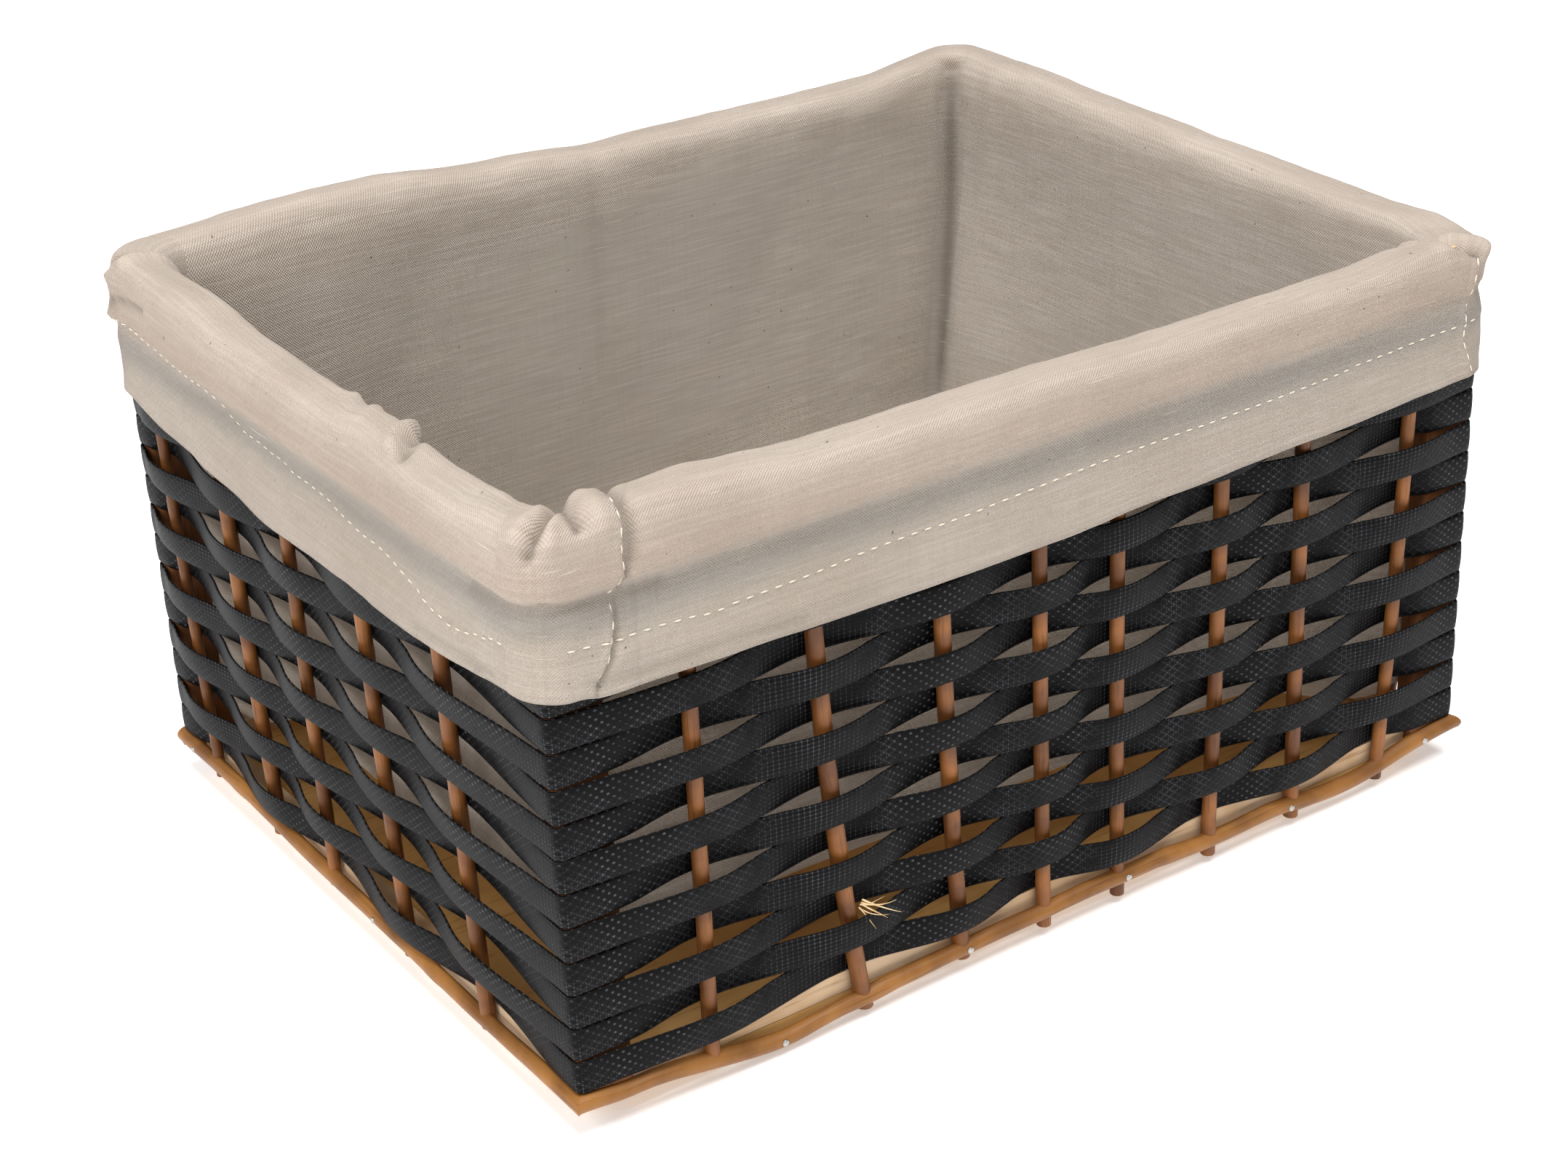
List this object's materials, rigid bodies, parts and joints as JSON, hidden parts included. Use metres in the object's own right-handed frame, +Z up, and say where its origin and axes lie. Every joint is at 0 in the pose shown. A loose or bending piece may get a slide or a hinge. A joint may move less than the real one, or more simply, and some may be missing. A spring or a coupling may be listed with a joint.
{
  "type": "woven laundry basket",
  "caption": "Rectangular laundry basket of flat dark band woven round willow stakes on a wooden base, with a lift-out cotton liner folded over the rim.",
  "frame": {"origin": "on the floor at the centre of the footprint, under the stake feet", "axes": "+X along the long side, +Y to the back, +Z up"},
  "size_m": [0.4042, 0.3172, 0.2101],
  "materials": {
    "band": "embossed satin polypropylene band",
    "willow": "peeled buff willow, unvarnished",
    "moulding": "split half-round willow, thin varnish",
    "lath": "sawn pale softwood",
    "plywood": "bare birch plywood",
    "batten": "stained softwood batten",
    "cotton": "unbleached plain-weave calico"
  },
  "bodies": {
    "basket": {"base_board": "plywood", "base_lath_front": "lath", "base_lath_right": "lath", "base_lath_back": "lath", "base_lath_left": "lath", "base_moulding_front": "moulding", "base_moulding_right": "moulding", "base_moulding_back": "moulding", "base_moulding_left": "moulding", "corner_post_front_left": "batten", "corner_post_front_right": "batten", "corner_post_back_right": "batten", "corner_post_back_left": "batten", "stake_front_1": "willow", "stake_front_2": "willow", "stake_front_3": "willow", "stake_front_4": "willow", "stake_front_5": "willow", "stake_front_6": "willow", "stake_front_7": "willow", "stake_front_8": "willow", "stake_right_1": "willow", "stake_right_2": "willow", "stake_right_3": "willow", "stake_right_4": "willow", "stake_right_5": "willow", "stake_back_1": "willow", "stake_back_2": "willow", "stake_back_3": "willow", "stake_back_4": "willow", "stake_back_5": "willow", "stake_back_6": "willow", "stake_back_7": "willow", "stake_back_8": "willow", "stake_left_1": "willow", "stake_left_2": "willow", "stake_left_3": "willow", "stake_left_4": "willow", "stake_left_5": "willow", "band_row_01": "band", "band_row_02": "band", "band_row_03": "band", "band_row_04": "band", "band_row_05": "band", "band_row_06": "band", "band_row_07": "band", "band_row_08": "band", "band_row_09": "band", "band_row_10": "band", "band_row_11": "band", "band_row_12": "band", "band_row_13": "band", "band_row_14": "band", "rim_hoop": "lath", "rim_moulding_front": "moulding", "rim_moulding_right": "moulding", "rim_moulding_back": "moulding", "rim_moulding_left": "moulding"},
    "liner": {"liner": "cotton"}
  },
  "joints": [
    {"name": "liner_lift", "type": "slide", "parent": "basket", "child": "liner", "axis": [0, 0, 1], "range_m": [0, 0.16]}
  ]
}
